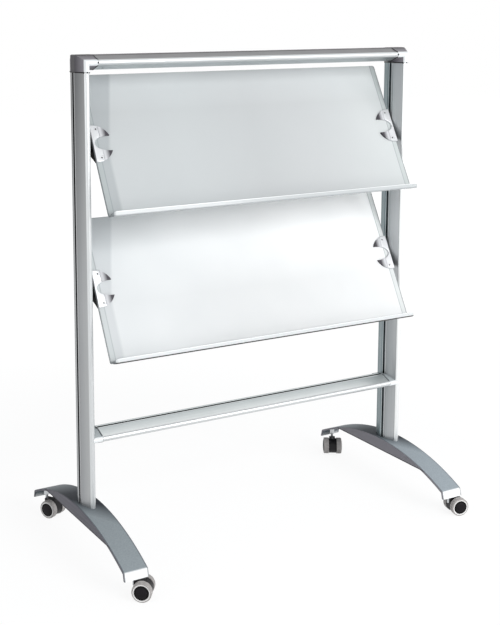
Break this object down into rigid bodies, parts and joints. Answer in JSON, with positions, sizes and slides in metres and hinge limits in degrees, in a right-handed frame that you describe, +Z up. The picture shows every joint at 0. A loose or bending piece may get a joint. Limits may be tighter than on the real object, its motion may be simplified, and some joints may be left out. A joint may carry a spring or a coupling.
{
  "type": "periodical display rack",
  "caption": "Mobile display rack: slotted aluminium posts on arched feet with casters, carrying tilting height-adjustable magazine shelves between them.",
  "frame": {"origin": "on the floor, midway between the two posts and under their centre lines", "axes": "+X to the right seen from the front, -Y towards the reader in front, +Z up"},
  "size_m": [1.0385, 0.5873, 1.2505],
  "materials": {
    "anodised_aluminium": "satin natural anodised",
    "elbow_grey": "satin grey powder coat on a casting",
    "fitting_grey": "satin grey powder coat on a casting",
    "foot_silver": "satin silver powder coat",
    "opal_acrylic": "polished opal sheet",
    "jaw_silver": "satin silver coat on a casting",
    "pad_grey": "fine moulded texture",
    "black_moulding": "fine moulded texture",
    "zinc_steel": "bright zinc plate",
    "tyre_grey": "moulded soft tread",
    "hub_black": "moulded gloss"
  },
  "bodies": {
    "frame": {"left_post": "anodised_aluminium", "left_elbow": "elbow_grey", "left_crossbar_fitting": "fitting_grey", "left_foot": "foot_silver", "right_post": "anodised_aluminium", "right_elbow": "elbow_grey", "right_crossbar_fitting": "fitting_grey", "right_foot": "foot_silver", "top_bar": "anodised_aluminium", "lower_crossbar": "anodised_aluminium", "elbow_keys": "zinc_steel", "elbow_grub_screws": "black_moulding", "crossbar_bolts": "zinc_steel", "post_plugs": "zinc_steel", "foot_bolts": "zinc_steel", "caster_stems": "zinc_steel"},
    "upper_carriage": {"upper_slot_nuts": "zinc_steel", "upper_pivot_pins": "zinc_steel", "upper_spacer_washers": "black_moulding"},
    "upper_shelf": {"upper_shelf_sheet": "opal_acrylic", "upper_clamp_pads": "pad_grey", "upper_clamp_screws": "zinc_steel", "upper_left_clamp_jaw": "jaw_silver", "upper_left_pivot_housing": "black_moulding", "upper_right_clamp_jaw": "jaw_silver", "upper_right_pivot_housing": "black_moulding"},
    "lower_carriage": {"lower_slot_nuts": "zinc_steel", "lower_pivot_pins": "zinc_steel", "lower_spacer_washers": "black_moulding"},
    "lower_shelf": {"lower_shelf_sheet": "opal_acrylic", "lower_clamp_pads": "pad_grey", "lower_clamp_screws": "zinc_steel", "lower_left_clamp_jaw": "jaw_silver", "lower_left_pivot_housing": "black_moulding", "lower_right_clamp_jaw": "jaw_silver", "lower_right_pivot_housing": "black_moulding"},
    "front_left_caster": {"front_left_caster_hood": "black_moulding", "front_left_caster_axle": "zinc_steel"},
    "front_left_outer_wheel": {"front_left_outer_tyre": "tyre_grey", "front_left_outer_hub": "hub_black"},
    "front_left_inner_wheel": {"front_left_inner_tyre": "tyre_grey", "front_left_inner_hub": "hub_black"},
    "rear_left_caster": {"rear_left_caster_hood": "black_moulding", "rear_left_caster_axle": "zinc_steel"},
    "rear_left_outer_wheel": {"rear_left_outer_tyre": "tyre_grey", "rear_left_outer_hub": "hub_black"},
    "rear_left_inner_wheel": {"rear_left_inner_tyre": "tyre_grey", "rear_left_inner_hub": "hub_black"},
    "front_right_caster": {"front_right_caster_hood": "black_moulding", "front_right_caster_axle": "zinc_steel"},
    "front_right_outer_wheel": {"front_right_outer_tyre": "tyre_grey", "front_right_outer_hub": "hub_black"},
    "front_right_inner_wheel": {"front_right_inner_tyre": "tyre_grey", "front_right_inner_hub": "hub_black"},
    "rear_right_caster": {"rear_right_caster_hood": "black_moulding", "rear_right_caster_axle": "zinc_steel"},
    "rear_right_outer_wheel": {"rear_right_outer_tyre": "tyre_grey", "rear_right_outer_hub": "hub_black"},
    "rear_right_inner_wheel": {"rear_right_inner_tyre": "tyre_grey", "rear_right_inner_hub": "hub_black"}
  },
  "joints": [
    {"name": "upper_shelf_height", "type": "slide", "parent": "frame", "child": "upper_carriage", "axis": [0, 0, 1], "range_m": [-0.1, 0]},
    {"name": "upper_shelf_tilt", "type": "hinge", "parent": "upper_carriage", "child": "upper_shelf", "pos_m": [0, 0, 1.02751], "axis": [1, 0, 0], "range_deg": [-20, 8]},
    {"name": "lower_shelf_height", "type": "slide", "parent": "frame", "child": "lower_carriage", "axis": [0, 0, 1], "range_m": [-0.1, 0.1]},
    {"name": "lower_shelf_tilt", "type": "hinge", "parent": "lower_carriage", "child": "lower_shelf", "pos_m": [0, 0, 0.67121], "axis": [1, 0, 0], "range_deg": [-20, 8]},
    {"name": "front_left_swivel", "type": "hinge", "parent": "frame", "child": "front_left_caster", "pos_m": [-0.478, -0.262, 0.04], "axis": [0, 0, 1], "continuous": true},
    {"name": "front_left_outer_roll", "type": "hinge", "parent": "front_left_caster", "child": "front_left_outer_wheel", "pos_m": [-0.46066, -0.27554, 0.024], "axis": [-0.6157, -0.788, 0], "continuous": true},
    {"name": "front_left_inner_roll", "type": "hinge", "parent": "front_left_caster", "child": "front_left_inner_wheel", "pos_m": [-0.46066, -0.27554, 0.024], "axis": [-0.6157, -0.788, 0], "continuous": true},
    {"name": "rear_left_swivel", "type": "hinge", "parent": "frame", "child": "rear_left_caster", "pos_m": [-0.478, 0.262, 0.04], "axis": [0, 0, 1], "continuous": true},
    {"name": "rear_left_outer_roll", "type": "hinge", "parent": "rear_left_caster", "child": "rear_left_outer_wheel", "pos_m": [-0.46767, 0.24258, 0.024], "axis": [-0.8829, -0.4695, 0], "continuous": true},
    {"name": "rear_left_inner_roll", "type": "hinge", "parent": "rear_left_caster", "child": "rear_left_inner_wheel", "pos_m": [-0.46767, 0.24258, 0.024], "axis": [-0.8829, -0.4695, 0], "continuous": true},
    {"name": "front_right_swivel", "type": "hinge", "parent": "frame", "child": "front_right_caster", "pos_m": [0.478, -0.262, 0.04], "axis": [0, 0, 1], "continuous": true},
    {"name": "front_right_outer_roll", "type": "hinge", "parent": "front_right_caster", "child": "front_right_outer_wheel", "pos_m": [0.49935, -0.26732, 0.024], "axis": [-0.2419, -0.9703, 0], "continuous": true},
    {"name": "front_right_inner_roll", "type": "hinge", "parent": "front_right_caster", "child": "front_right_inner_wheel", "pos_m": [0.49935, -0.26732, 0.024], "axis": [-0.2419, -0.9703, 0], "continuous": true},
    {"name": "rear_right_swivel", "type": "hinge", "parent": "frame", "child": "rear_right_caster", "pos_m": [0.478, 0.262, 0.04], "axis": [0, 0, 1], "continuous": true},
    {"name": "rear_right_outer_roll", "type": "hinge", "parent": "rear_right_caster", "child": "rear_right_outer_wheel", "pos_m": [0.46634, 0.24334, 0.024], "axis": [-0.848, 0.5299, 0], "continuous": true},
    {"name": "rear_right_inner_roll", "type": "hinge", "parent": "rear_right_caster", "child": "rear_right_inner_wheel", "pos_m": [0.46634, 0.24334, 0.024], "axis": [-0.848, 0.5299, 0], "continuous": true}
  ]
}
